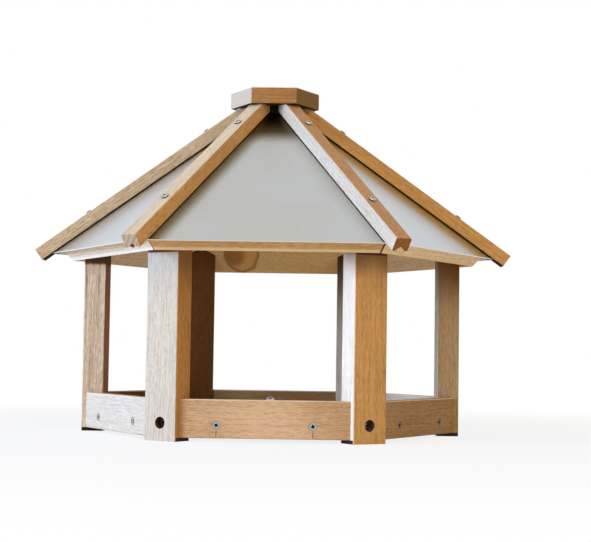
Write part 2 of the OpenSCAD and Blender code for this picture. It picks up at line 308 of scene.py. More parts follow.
PAINTED_LIT_OAK = screen(203, 196, 188)
OVERHANG_LIT_OAK = screen(252, 220, 172)
FRESH_END = screen(158, 98, 22)
DRY_END = screen(136, 82, 14)
# Painted light: pale end grain where the light falls on it
PAINTED_LIT_END = screen(186, 163, 138)
END_RING = screen(98, 48, 22)
# Dark brown for real splits, and for painted shade on faces that look down and on the posts
SPLIT_AND_SHADE_BROWN = screen(46, 28, 17)
OPEN_JOINT = screen(76, 26, 12)
# Painted shade: the line under the eaves, the spot in a groove and the band at a post's head
EAVE_SHADOW_LINE = screen(80, 30, 18)
GROOVE_SHADE_BROWN = screen(60, 26, 14)
HEAD_SHADE_BAND = screen(80, 44, 20)
RAIN_RUN = screen(106, 76, 66)
PALE_RAIL = screen(232, 196, 160)
BROWN_RAIL = screen(150, 104, 58)
# Painted shade on the front rail by the left post
RAIL_POST_SHADE = screen(150, 100, 50)
# Painted shade: warm brown on posts' inner faces, near black on the battens' hidden sides and
# beside them
WARM_SHADE = screen(175, 101, 0)
PAINTED_SHADE_BLACK = screen(20, 15, 11)

# Painted light: oak is painted paler on the side that the cool light comes from
PAINTED_LIGHT_SIDE = (outward(212) + UP * 0.36).normalized()

# The board with the knot, and the spot of painted shade on the front left board's corner
KNOTTY_BOARD = "eave_board_back"
KNOT = Vector((-45, 173, 221)) * MM
KNOT_HEART = KNOT + Vector((-10, 2, -1.5)) * MM
RIM_BROWN = screen(146, 98, 46)
DISC_GOLD = screen(240, 192, 116)
HEART_BROWN = screen(172, 120, 56)
GROOVE_SHADE_SPOT = Vector((-144.7, -168.9, 205)) * MM


def laid_in_trunk(wood, node, x, face, seed):
    """Where each place of a piece lies in its trunk, in millimetres: x along the piece, and the
    pith on the line y = z = 0, somewhere beside it."""
    chance = random.Random(seed)
    z = (face - x * face.dot(x)).normalized()
    turn = Matrix((x, z.cross(x), z))
    low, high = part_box(node)
    middle = turn @ ((Vector(low) + Vector(high)) / 2) / MM
    way = math.radians(chance.uniform(28, 62))
    far = chance.uniform(110, 220)
    pith = Vector((chance.uniform(-300, 300), far * math.cos(way), far * math.sin(way)))
    return wood.add("ShaderNodeMapping", {
        "Vector": wood.place,
        "Rotation": turn.to_euler("XYZ"),
        "Scale": (1 / MM, 1 / MM, 1 / MM),
        "Location": pith - middle,
    }).outputs[0]


def wandering(wood, place, reach=14.0):
    """A trunk is never true: its rings run a few millimetres off along the length."""
    drift = wood.add("ShaderNodeTexNoise", {
        "Vector": wood.vector("MULTIPLY", place, (0.005, 0.02, 0.02)),
        "Scale": 1.0,
        "Detail": 2.0,
    }).outputs["Color"]
    off = wood.vector("SUBTRACT", drift, (0.5, 0.5, 0.5))
    return wood.vector("ADD", place, wood.vector("MULTIPLY", off, (0.0, reach, reach)))


def grown_round_knot(wood, trunk):
    """Bends the rings round the knot, as the trunk grew round a branch."""
    push = wood.between(wood.distance_to(KNOT), 0.0, 45 * MM, 34.0, 0.0)
    aside = wood.add("ShaderNodeCombineXYZ", {"Y": push, "Z": push}).outputs[0]
    return wood.vector("ADD", trunk, aside)


def oak(name, node, along, face, seed, tone="golden", streaks=1.0, lit_tone=PAINTED_LIT_OAK, marks=(),
        corner=None, eave_shade=0.0, gloss=0.2):
    """Bare oak whose grain follows one piece: rings round a pith beside it, fibres, pores and end
    grain.

    along is the direction of the piece's length and face the normal of its wide face. tone names
    one of OAKS, streaks says how strong the fibres show, and the lit tone is the colour that is
    painted on the side that the light falls on, as painted light. marks are this one piece's own,
    each a function of the finish and its colour so far. A post gets painted shade under the eaves:
    corner is its corner of the house, and the eave shade depth says how far down that goes. gloss
    is how strong the bare surface reflects.
    """
    wood = Finish(name)
    x = along.normalized()
    place = laid_in_trunk(wood, node, x, face, seed)
    trunk = wandering(wood, place)
    if node == KNOTTY_BOARD:
        trunk = grown_round_knot(wood, trunk)
    rings = wood.growth_rings(trunk, RINGS_APART)

    # Fibres in long streaks, and pores as short scratches, most of them in the early wood
    bands = wood.noise(trunk, (0.004, 0.16, 0.16), detail=3.0, roughness=0.55)
    fibres = wood.noise(trunk, (0.014, 0.75, 0.75), detail=3.0, roughness=0.6)
    hairs = wood.noise(trunk, (0.04, 2.8, 2.8), roughness=0.6)
    flecks = wood.noise(trunk, (0.13, 0.8, 0.8), roughness=0.65)
    pore_field = wood.noise(trunk, (0.1, 4.2, 4.2), detail=1.0)
    early = wood.between(rings, 0.0, 0.4, 1.0, 0.0)
    pores = wood.between(wood.times_plus(early, 0.08, pore_field), 0.63, 0.72)
    blush = wood.noise(place, (0.008, 0.03, 0.03))

    plain = OAKS[tone]
    streak, pore = darker(plain, 0.6), darker(plain, 0.3)
    colour = wood.mix(wood.between(blush, 0.3, 0.7), darker(plain, 1.06), darker(plain, 0.88))
    for share, stain in (
        (wood.times(early, 0.25 * streaks), streak),
        (wood.between(bands, 0.42, 0.75, 0.0, 0.35 * streaks), streak),
        (wood.between(fibres, 0.46, 0.74, 0.0, 0.5 * streaks), streak),
        (wood.between(flecks, 0.3, 0.5, 0.6, 0.0), darker(plain, 1.2)),
        (wood.between(flecks, 0.5, 0.72, 0.0, 0.65 * min(streaks, 1.0)), streak),
        (wood.between(hairs, 0.5, 0.68, 0.0, 0.3 * streaks), streak),
        (wood.times(pores, 0.5 * streaks), pore),
    ):
        colour = wood.mix(share, colour, stain)
    # Painted shade on a post's head under the eaves
    if corner is not None:
        under = wood.below_boards(corner)
        colour = wood.mix(wood.between(under, eave_shade / 8, eave_shade, 0.95, 0.0), colour, streak)

    # Painted light: the side that the cool light falls on is painted paler
    to_light = wood.along(wood.normal, PAINTED_LIGHT_SIDE)
    painted_light = wood.between(to_light, 0.45, 0.95, 0.0, 0.8)
    grey = wood.between(wood.times_plus(flecks, 0.6, fibres), 0.72, 1.0, 0.0, 0.6)
    colour = wood.mix(painted_light, colour, wood.mix(grey, lit_tone, darker(lit_tone, 0.66)))

    # Painted highlight on the small chamfers along the top edges, and painted shade on faces that
    # look straight down
    tilt = wood.along(wood.normal, UP)
    off = wood.absolute(wood.minus(tilt, math.sin(math.pi / 4)))
    colour = wood.mix(wood.between(off, 0.03, 0.06, 0.8, 0.0), colour, OAKS["chalk"])
    colour = wood.mix(wood.between(tilt, -0.97, -0.9, 0.85, 0.0), colour, SPLIT_AND_SHADE_BROWN)

    # End grain drinks more and is darker, and painted light makes it pale where the light falls on
    # it
    end = wood.between(wood.absolute(wood.along(wood.normal, x)), 0.8, 0.97)
    end_colour = wood.mix(wood.between(fibres, 0.35, 0.65), FRESH_END, DRY_END)
    end_colour = wood.mix(wood.between(to_light, 0.3, 0.5), end_colour, PAINTED_LIT_END)
    arcs = wood.between(wood.growth_rings(trunk, END_RINGS_APART), 0.25, 0.7, 0.75, 0.0)
    end_colour = wood.mix(arcs, end_colour, wood.mix(0.5, end_colour, END_RING))
    colour = wood.mix(wood.times(end, 0.9), colour, end_colour)

    for mark in marks:
        colour = mark(wood, colour)

    relief = wood.times_plus(hairs, 0.4, wood.times(pores, -1.0))
    wood.set("Base Color", colour)
    wood.set("Roughness", wood.between(fibres, 0.3, 0.7, 0.52, 0.65))
    wood.set("Specular IOR Level", gloss)
    wood.set("Normal", wood.bump(relief, 0.12 * MM))
    return wood.material


# Marks on single pieces of oak. Each is a function of the finish and its colour so far, or makes
# one.

def heart_of_knot(wood, colour):
    """The golden disc of the knot, longer across the board, with a darker rim and heart."""
    wander = wood.times(wood.noise(wood.place, 60.0), 6 * MM)

    def reach_from(point):
        off = wood.vector("MULTIPLY", wood.vector("SUBTRACT", wood.place, point), (1.0, 0.62, 0.62))
        return wood.plus(wander, wood.vector("LENGTH", off, result="Value"))

    disc, heart = reach_from(KNOT), reach_from(KNOT_HEART)
    colour = wood.mix(wood.between(disc, 24.5 * MM, 27.5 * MM, 0.8, 0.0), colour, RIM_BROWN)
    colour = wood.mix(wood.between(disc, 21 * MM, 25 * MM, 0.85, 0.0), colour, DISC_GOLD)
    return wood.mix(wood.between(heart, 11 * MM, 21 * MM, 0.9, 0.0), colour, HEART_BROWN)


def open_mitre(corner, width):
    """A joint that has opened a little: the edge along a corner of the house is dark."""
    def mark(wood, colour):
        beside = wood.absolute(wood.along(wood.place, UP.cross(outward(corner))))
        return wood.mix(wood.between(beside, width, 2 * width, 0.95, 0.0), colour, OPEN_JOINT)
    return mark


def lit_edge_below_overhang(side, pale=OVERHANG_LIT_OAK, share=0.6):
    """Painted light: the lower half of a board's outer edge, below the shadow of the sheet's
    overhang, is painted pale.
    """
    def mark(wood, colour):
        outside = wood.facing(outward(side), 0.5, 0.7)
        lit_strip = wood.reaching(UP, EAVE_H + 2.5 * MM, EAVE_H + 5 * MM, share, 0.0)
        return wood.mix(wood.times(outside, lit_strip), colour, pale)
    return mark


def shade_spot_under_batten(wood, colour):
    """Painted shade on the board's corner behind the groove of the front left batten."""
    off = wood.vector("MULTIPLY", wood.vector("SUBTRACT", wood.place, GROOVE_SHADE_SPOT), (1.0, 1.0, 2.2))
    reach = wood.vector("LENGTH", off, result="Value")
    return wood.mix(wood.between(reach, 5.6 * MM, 6.8 * MM, 0.95, 0.0), colour, GROOVE_SHADE_BROWN)


def splits_under_screws(level):
    """A short hairline split under each screw of a rail that runs along level."""
    split_z, half = 8.5 * MM, 4 * MM

    def mark(wood, colour):
        out = wood.absolute(wood.along(wood.place, level))
        wobble = wood.times(wood.minus(wood.noise(wood.place, 260.0), 0.5), 1.4 * MM)
        beside = wood.absolute(wood.plus(wobble, wood.minus(out, RAIL_SCREW_PITCH / 2)))
        up_down = wood.absolute(wood.minus(wood.along(wood.place, UP), split_z))
        crack = wood.times(wood.between(beside, 0.2 * MM, 0.7 * MM, 0.8, 0.0),
                           wood.between(up_down, half / 2, half, 1.0, 0.0))
        return wood.mix(crack, colour, SPLIT_AND_SHADE_BROWN)
    return mark


def front_rail_patches(wood, colour):
    """The front rail is paler in the middle and browner to its right, and painted shade darkens it
    by the left post.
    """
    along = wood.along(wood.place, RIGHT)
    middle = wood.between(wood.absolute(along), 10 * MM, 60 * MM, 0.25, 0.0)
    colour = wood.mix(middle, colour, PALE_RAIL)
    colour = wood.mix(wood.between(along, 30 * MM, 90 * MM, 0.0, 0.35), colour, BROWN_RAIL)
    return wood.mix(wood.between(along, -89 * MM, -80 * MM, 0.5, 0.0), colour, RAIL_POST_SHADE)


def shade_on_post(corner):
    """Painted shade in the joint under the boards, inside the counterbore and on the foot's sides,
    and a dark line of painted shadow across the outward face at the eave."""
    out = outward(corner)

    def mark(wood, colour):
        height = wood.along(wood.place, UP)
        turned = wood.along(wood.normal, out)
        joint = wood.between(wood.below_boards(corner), 1 * MM, 2.5 * MM, 0.75, 0.0)
        foot = wood.times(wood.between(height, FOOT_H - 0.1 * MM, FOOT_H + 0.3 * MM, 1.0, 0.0),
                          wood.between(wood.absolute(turned), 0.4, 0.8, 1.0, 0.0))
        from_bore = wood.off_axis(wood.minus(height, RAIL_SCREW_Z + POST_SCREW_RISE),
                                  wood.along(wood.place, UP.cross(out)))
        bore = BORE_D / 2
        inside = wood.times(wood.between(from_bore, bore + 0.1 * MM, bore + 0.3 * MM, 0.85, 0.0),
                            wood.reaching(out, POST_RING_R - 2 * MM, POST_RING_R, 1.0, 0.0))
        for share in (joint, foot, inside):
            colour = wood.mix(share, colour, SPLIT_AND_SHADE_BROWN)
        line = wood.times(wood.between(height, EAVE_H - 1 * MM, EAVE_H - 0.2 * MM, 0.0, 0.9),
                          wood.between(turned, 0.8, 0.9))
        return wood.mix(line, colour, EAVE_SHADOW_LINE)
    return mark


def dark_head(corner, depth, share, shade):
    """Painted shade on a post over some depth below the boards."""
    def mark(wood, colour):
        under = wood.below_boards(corner)
        return wood.mix(wood.between(under, 4 * MM, depth, share, 0.0), colour, shade)
    return mark


def dark_inner_face(corner):
    """Painted shade on the side of a post that faces the room."""
    def mark(wood, colour):
        return wood.mix(wood.facing(outward(corner), -0.8, -0.6, 0.95, 0.0), colour, WARM_SHADE)
    return mark


def shaded_face(degrees, shade):
    """Painted shade on one face of the cap, darker than the others."""
    def mark(wood, colour):
        return wood.mix(wood.facing(outward(degrees), 0.9, 0.97, 0.0, 0.6), colour, shade)
    return mark


def rain_streaks(wood, colour):
    """Reddish grey streaks down a post, strongest near its head, and a band of painted shade at its
    top.
    """
    height = wood.along(wood.place, UP)
    runs = wood.noise(wood.place, (330, 330, 9), detail=3.0, roughness=0.6)
    strength = wood.between(height, 140 * MM, 190 * MM, 0.2, 1.0)
    colour = wood.mix(wood.times(wood.between(runs, 0.46, 0.62), strength), colour, RAIN_RUN)
    wander = wood.times_plus(runs, 5 * MM, height)
    band = wood.between(wander, EAVE_H - 3.5 * MM, EAVE_H - 0.5 * MM, 0.0, 0.95)
    return wood.mix(band, colour, HEAD_SHADE_BAND)


def dark_underside(face):
    """Painted shade on the hidden side of a batten. face is the way that its top faces."""
    def mark(wood, colour):
        return wood.mix(wood.facing(face, -0.4, -0.2, 0.9, 0.0), colour, PAINTED_SHADE_BLACK)
    return mark


def dark_lower_edge(face):
    """Painted shade along the lower edge of a batten's sides, just over the gap under it."""
    def mark(wood, colour):
        over_hip = wood.minus(wood.along(wood.place, face), APEX_Z * face.z)
        low = BATTEN_SEAT + BATTEN_RELIEF
        return wood.mix(wood.between(over_hip, low, low + 0.6 * MM, 0.95, 0.0), colour, PAINTED_SHADE_BLACK)
    return mark


# Metal

GREY_ZINC = screen(190, 192, 191)
BLUE_ZINC = screen(193, 200, 206)
# Painted light: the sheet that the cool light falls on is paler and bluer
PAINTED_LIT_ZINC = screen(201, 210, 220)
# Painted highlights on the cut edges, the brightest on the sheet that the light falls on
CUT_EDGE = screen(222, 217, 208)
BRIGHT_EDGE = screen(250, 252, 255)
# Painted reflections of the battens in the zinc
DARK_BATTEN_REFLECTION = screen(112, 102, 60)
PALE_BATTEN_REFLECTION = screen(188, 172, 98)
# Near the apex: the painted reflection of the cap's underside, and painted shade
CAP_REFLECTION_BROWN = screen(79, 61, 12)
CAP_SHADOW_BLACK = screen(46, 33, 18)
PLATED_STEEL = screen(204, 204, 192)
STAINLESS_STEEL = screen(222, 218, 210)
POLISHED_STEEL = screen(228, 228, 226)
DULL_STEEL = screen(140, 136, 124)
DARKEST_SCREW_STEEL = screen(104, 82, 58)
# Painted shade in the screws' recesses and round their rims
SCREW_SHADE_BLACK = screen(22, 20, 18)


def batten_reflection(share=0.4, width=23 * MM, reflected_tint=DARK_BATTEN_REFLECTION):
    """A painted reflection of a batten on the sheet beside it: how strong, how far out, and its
    colour.
    """
    return share, width, reflected_tint


def zinc(name, seed, side, tone=GREY_ZINC, painted_marks=(batten_reflection(), batten_reflection()), line=0.95,
         edge=CUT_EDGE):
    """Rolled zinc sheet: satin, with a very fine grain and faint clouds, and a painted highlight on
    its cut edge. Near the apex it is painted dark, as painted shade and the painted reflection of
    the cap's underside. Beside the battens over the sheet's two corners of the house it has a
    painted reflection of each batten, and a thin line of painted shade along each batten; line is
    how dark that line is."""
    chance = random.Random(seed)
    sheet = Finish(name)
    place = sheet.vector("ADD", sheet.place, (chance.uniform(-1, 1), chance.uniform(-1, 1), 0))
    clouds = sheet.noise(place, 9.0, detail=3.0, roughness=0.6)
    grit = sheet.noise(place, 1100.0, roughness=0.7)
    waves = sheet.noise(place, 5.0, detail=1.0)
    colour = sheet.mix(sheet.between(clouds, 0.3, 0.7), darker(tone, 0.97), darker(tone, 1.02))

    # Beside each batten: its painted reflection, and a thin line of painted shade along it
    for corner, (share, width, reflected_tint) in zip((side - 30, side + 30), painted_marks):
        across = sheet.along(sheet.place, UP.cross(outward(corner)))
        beside = sheet.minus(sheet.absolute(across), BATTEN_W / 2)
        haze = sheet.times_plus(grit, 9 * MM, beside)
        colour = sheet.mix(sheet.between(haze, 0.4 * width, width, share, 0.0), colour, reflected_tint)
        colour = sheet.mix(sheet.between(beside, 0.4 * MM, 1.1 * MM, line, 0.0), colour, PAINTED_SHADE_BLACK)
    # Painted reflection of the cap's underside, then painted shade, under the cap
    below_apex = sheet.minus(sheet.along(sheet.place, UP), APEX_Z)
    up = sheet.times_plus(grit, 12 * MM, below_apex)
    colour = sheet.mix(sheet.between(up, -60 * MM, -40 * MM, 0.0, 0.92), colour, CAP_REFLECTION_BROWN)
    colour = sheet.mix(sheet.between(up, -34 * MM, -20 * MM, 0.0, 0.8), colour, CAP_SHADOW_BLACK)
    # Painted highlight on the cut edge
    cut = sheet.times(sheet.facing(outward(side), 0.3, 0.5), sheet.facing(UP, -0.3, -0.1, 1.0, 0.0))
    colour = sheet.mix(cut, colour, edge)

    sheet.set("Base Color", colour)
    sheet.set("Metallic", 1.0)
    sheet.set("Roughness", sheet.between(grit, 0.25, 0.75, 0.24, 0.38))
    sheet.set("Normal", sheet.bump(sheet.times_plus(grit, 0.03, waves), 0.6 * MM))
    return sheet.material


def bright_steel(name, tint, roughness, painted_dark=False):
    """Screw steel, a little duller in patches. When asked, it also reads the screws' own
    attributes:
    shine, for how bright each is, and the painted dark, for the painted shade in its recess and the
    dark rim painted round it."""
    steel = Finish(name)
    patches = steel.noise(steel.place, 700.0)
    colour = steel.mix(steel.between(patches, 0.35, 0.65, 0.0, 0.35), tint, DULL_STEEL)
    if painted_dark:
        shine = steel.add("ShaderNodeAttribute", attribute_name="shine").outputs["Fac"]
        colour = steel.mix(shine, DARKEST_SCREW_STEEL, colour)
        # Painted shade in the recess and a painted dark rim
        painted_marks = steel.add("ShaderNodeAttribute", attribute_name="painted_dark").outputs["Fac"]
        colour = steel.mix(steel.between(painted_marks, 0.03, 0.35), colour, SCREW_SHADE_BLACK)
        steel.set("Metallic", steel.between(painted_marks, 0.03, 0.35, 1.0, 0.2))
    else:
        steel.set("Metallic", 1.0)
    steel.set("Base Color", colour)
    steel.set("Roughness", steel.between(patches, 0.3, 0.7, roughness, roughness + 0.14))
    return steel.material


# Screws, made by Geometry Nodes

# A turned screw's outline from the tip to the middle of the head. Each ring gives its radius as
# shares of the head's and the shank's, and its height as shares of the head's height and of the
# length under z = 0.
CSK_OUTLINE = (
    (0.0, 0.0, 0.0, -1.0),
    (0.0, 1.0, 0.0, -0.9),
    (0.0, 1.0, -1.0, 0.0),
    (1.0, 0.0, -0.18, 0.0),
    (1.0, 0.0, -0.04, 0.0),
    (0.96, 0.0, 0.0, 0.0),
)
PAN_OUTLINE = (
    (0.0, 0.0, 0.0, -1.0),
    (0.0, 1.0, 0.0, -0.88),
    (0.0, 1.0, 0.0, 0.0),
    (0.94, 0.0, 0.0, 0.0),
    (1.0, 0.0, 0.1, 0.0),
    (1.0, 0.0, 0.34, 0.0),
    (0.93, 0.0, 0.58, 0.0),
    (0.78, 0.0, 0.8, 0.0),
    (0.56, 0.0, 0.94, 0.0),
    (0.3, 0.0, 1.0, 0.0),
)

# What a screw tree is given, by the kind of its socket
SCREW_INPUTS = {
    "Points": "Geometry",
    "Head Width": "Float",
    "Head Height": "Float",
    "Shank Width": "Float",
    "Length": "Float",
    "Recess Width": "Float",
    "Recess Depth": "Float",
    "Seed": "Int",
    "Metal": "Material",
}

# The cutters of a cross recess, two wedges and a round middle: their corners, their width as a
# share of the recess's, how thin they are and how many quarter turns they are turned
CROSS_CUTTERS = ((4, 1.0, 0.42, 0), (4, 1.0, 0.42, 1), (16, 0.6, 1.0, 0))


def turned_rod(make, given, outline):
    """A plain cylinder with one ring for each row of the outline, moved to the row's place."""
    steps = len(outline) - 1
    rod = make.add("GeometryNodeMeshCylinder", {
        "Vertices": 40, "Side Segments": steps, "Radius": 1.0, "Depth": 1.0,
    }).outputs["Mesh"]
    where = make.add("GeometryNodeInputPosition").outputs[0]
    level = make.add("ShaderNodeSeparateXYZ", {0: where}).outputs["Z"]
    ring = make.math("ROUND", make.times(make.plus(level, 0.5), float(steps)))

    def share_of(column):
        switch = make.add("GeometryNodeIndexSwitch", {"Index": ring}, data_type="FLOAT")
        while len(switch.index_switch_items) < len(outline):
            switch.index_switch_items.new()
        for number, row in enumerate(outline):
            switch.inputs[number + 1].default_value = row[column]
        return switch.outputs[0]

    head_r, shank_r = make.times(given["Head Width"], 0.5), make.times(given["Shank Width"], 0.5)
    radius = make.times_plus(share_of(0), head_r, make.times(share_of(1), shank_r))
    shank_z = make.times(share_of(3), given["Length"])
    height = make.times_plus(share_of(2), given["Head Height"], shank_z)
    flat = make.vector("MULTIPLY", where, (1.0, 1.0, 0.0))
    out = make.add("ShaderNodeVectorMath", {0: flat, "Scale": radius}, operation="SCALE").outputs[0]
    place = make.vector("ADD", out, make.upward(height))
    rod = make.add("GeometryNodeSetPosition", {"Geometry": rod, "Position": place}).outputs[0]
    return make.add("GeometryNodeMergeByDistance", {
        "Geometry": rod, "Distance": 0.01 * MM,
    }).outputs[0]


def with_cross_recess(make, given, rod, top):
    """Cuts the cross recess into a rod's head, narrower at the bottom. top is the recess's rim."""
    depth = given["Recess Depth"]
    cutter = make.add("GeometryNodeMeshBoolean", operation="UNION", solver="EXACT")
    for corners, width, thin, quarters in CROSS_CUTTERS:
        wide = make.times(given["Recess Width"], width / 2)
        wedge = make.add("GeometryNodeMeshCone", {
            "Vertices": corners,
            "Radius Top": make.times(wide, 1.25),
            "Radius Bottom": make.times(wide, 0.45),
            "Depth": make.times(depth, 1.3),
        }).outputs["Mesh"]
        sunk = make.add("GeometryNodeTransform", {
            "Geometry": wedge,
            "Translation": make.upward(make.minus(top, depth)),
            "Rotation": (0.0, 0.0, math.pi / 2 * quarters),
            "Scale": (1.0, thin, 1.0),
        }).outputs[0]
        make.tree.links.new(sunk, cutter.inputs["Mesh 2"])
    body = make.add("GeometryNodeMeshBoolean", {"Mesh 1": rod}, operation="DIFFERENCE",
                    solver="EXACT")
    make.tree.links.new(cutter.outputs["Mesh"], body.inputs["Mesh 2"])
    return body.outputs["Mesh"]


def with_painted_dark(make, given, screw, top, inner_share):
    """Marks where the screw is painted dark: painted shade down in the recess, and a dark rim
    outside the inner share, painted shade in a countersink's gap and a painted dark reflection on a
    pan head.
    """
    where = make.add("GeometryNodeInputPosition").outputs[0]
    parts = make.add("ShaderNodeSeparateXYZ", {0: where}).outputs
    sunk = make.math("DIVIDE", make.minus(top, parts["Z"]), given["Recess Depth"])
    reach = make.off_axis(parts["X"], parts["Y"])
    inside = make.math("LESS_THAN", reach, make.times(given["Recess Width"], 0.62))
    rim = make.math("GREATER_THAN", reach, make.times(given["Head Width"], inner_share / 2))
    painted_dark = make.times_plus(rim, 0.5, make.times(sunk, inside))
    return make.add("GeometryNodeStoreNamedAttribute", {
        "Geometry": screw, "Name": "painted_dark", "Value": painted_dark,
    }, data_type="FLOAT", domain="POINT").outputs[0]


def set_on_points(make, given, screw):
    """One screw on each point, along the point's aim and turned at random in its hole."""
    aim = make.add("GeometryNodeInputNamedAttribute", {"Name": "aim"}, data_type="FLOAT_VECTOR")
    stand = make.add("FunctionNodeAlignRotationToVector", {"Vector": aim.outputs[0]}, axis="Z")
    twist = make.add("FunctionNodeRandomValue", data_type="FLOAT")
    for socket in twist.inputs:
        if socket.enabled and socket.name == "Max":
            socket.default_value = math.pi
        if socket.enabled and socket.name == "Seed":
            make.tree.links.new(given["Seed"], socket)
    angle = next(socket for socket in twist.outputs if socket.enabled)
    spin = make.add("FunctionNodeAxisAngleToRotation", {"Axis": (0.0, 0.0, 1.0), "Angle": angle})
    turned = make.add("FunctionNodeRotateRotation", {0: stand.outputs[0], 1: spin.outputs[0]},
                      rotation_space="LOCAL")
    return make.add("GeometryNodeInstanceOnPoints", {
        "Points": given["Points"], "Instance": screw, "Rotation": turned.outputs[0],
    }).outputs[0]


def screw_tree(name, outline, recess_top, inner_share):
    """The tree that makes screws. recess_top is the height of the recess's rim as a share of the
    head's, and the last argument the share of the head's width inside the rim that is painted dark."""
    tree = bpy.data.node_groups.new(name, "GeometryNodeTree")
    for label, kind in SCREW_INPUTS.items():
        tree.interface.new_socket(label, in_out="INPUT", socket_type="NodeSocket" + kind)
    tree.interface.new_socket("Screws", in_out="OUTPUT", socket_type="NodeSocketGeometry")
    make = Tree(tree)
    given = make.add("NodeGroupInput").outputs
    top = make.times(given["Head Height"], recess_top)
    rod = turned_rod(make, given, outline)
    screw = with_painted_dark(make, given, with_cross_recess(make, given, rod, top), top, inner_share)
    placed = set_on_points(make, given, screw)
    real = make.add("GeometryNodeRealizeInstances", {"Geometry": placed}).outputs[0]
    done = make.add("GeometryNodeSetMaterial", {"Geometry": real, "Material": given["Metal"]})
    make.add("NodeGroupOutput", {"Screws": done.outputs[0]})
    return tree


def make_screws(node, tree, sizes, spots):
    """Sets screws at spots, each a place, an outward direction and how bright it is, and lets them
    stand for a node."""
    places, aims, shines = zip(*spots)
    mesh = bpy.data.meshes.new(node + "_spots")
    mesh.from_pydata(places, [], [])
    aim = mesh.attributes.new("aim", "FLOAT_VECTOR", "POINT")
    aim.data.foreach_set("vector", [part for direction in aims for part in direction])
    shine = mesh.attributes.new("shine", "FLOAT", "POINT")
    shine.data.foreach_set("value", shines)
    holder = bpy.data.objects.new(node + "_spots", mesh)
    bpy.context.scene.collection.objects.link(holder)
    modifier = holder.modifiers.new("screws", "NODES")
    modifier.node_group = tree
    for item in tree.interface.items_tree:
        if item.in_out == "INPUT" and item.name in sizes:
            modifier[item.identifier] = sizes[item.name]
    bpy.context.view_layer.update()
    seen = holder.evaluated_get(bpy.context.evaluated_depsgraph_get())
    body = bpy.data.meshes.new_from_object(seen)
    bpy.data.objects.remove(holder)
    body.shade_smooth()
    body.set_sharp_from_angle(angle=math.radians(32))
    piece = bpy.data.objects.new(node + "_turned", body)
    bpy.context.scene.collection.objects.link(piece)
    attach(piece, BODY)
    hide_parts(node)


# How bright the screws are, from 0, the darkest, to 1, the brightest
RAIL_SCREW_SHINE = {"front_left": 1.0, "front": 0.75, "front_right": 0.0}
OTHER_RAIL_SHINE = 0.5
POST_SCREW_SHINE = 0.3
BOARD_SCREW_SHINE = 0.9
BATTEN_SCREW_SHINE = 1.0
CAP_SCREW_SHINE = 0.9


def rail_screw_spots():
    spots = []
    for k, place in enumerate(SIDES):
        out = outward(side_angle(k))
        middle = out * (RAIL_FACE_A - CSK_SINK) + UP * RAIL_SCREW_Z
        shine = RAIL_SCREW_SHINE.get(place, OTHER_RAIL_SHINE)
        for half in (-RAIL_SCREW_PITCH / 2, RAIL_SCREW_PITCH / 2):
            spots.append((middle + UP.cross(out) * half, out, shine))
    return spots


def post_screw_spots():
    rise = UP * (RAIL_SCREW_Z + POST_SCREW_RISE)
    seat_r = POST_RING_R - BORE_DEPTH + SEAT_GAP
    outs = [outward(corner_angle(k)) for k in range(len(CORNERS))]
    return [(out * seat_r + rise, out, POST_SCREW_SHINE) for out in outs]


def board_screw_spots():
    spots = []
    ring_r = POST_RING_R - BOARD_SCREW_IN
    from_middle = ring_r * math.sin(HALF_TURN) - BOARD_SCREW_SIDE * math.cos(HALF_TURN)
    from_centre = ring_r * math.cos(HALF_TURN) + BOARD_SCREW_SIDE * math.sin(HALF_TURN)
    up = (BOARD_EDGE_A - from_centre) / math.cos(ROOF_PITCH)
    for k in range(len(SIDES)):
        out = outward(side_angle(k))
        slope = up_slope(side_angle(k), ROOF_PITCH)
        level = UP.cross(out)
        face = level.cross(slope)
        middle = out * BOARD_EDGE_A + UP * EAVE_H + slope * up
        lift = face * (BOARD_T - CSK_SINK)
        for half in (-from_middle, from_middle):
            spots.append((middle + level * half + lift, face, BOARD_SCREW_SHINE))
    return spots


def batten_screw_spots():
    spots = []
    for k in range(len(CORNERS)):
        hip = up_slope(corner_angle(k), HIP_PITCH)
        face = UP.cross(outward(corner_angle(k))).cross(hip)
        for down in (BLOCK_A * HIP_PER_A - BATTEN_SCREW_IN, BATTEN_END - BATTEN_SCREW_UP):
            place = UP * APEX_Z - hip * down + face * (BATTEN_TOP + SEAT_GAP)
            spots.append((place, face, BATTEN_SCREW_SHINE))
    return spots


def cap_screw_spot():
    return [(UP * (APEX_Z - CAP_DROP + CAP_T - CSK_SINK), UP, CAP_SCREW_SHINE)]


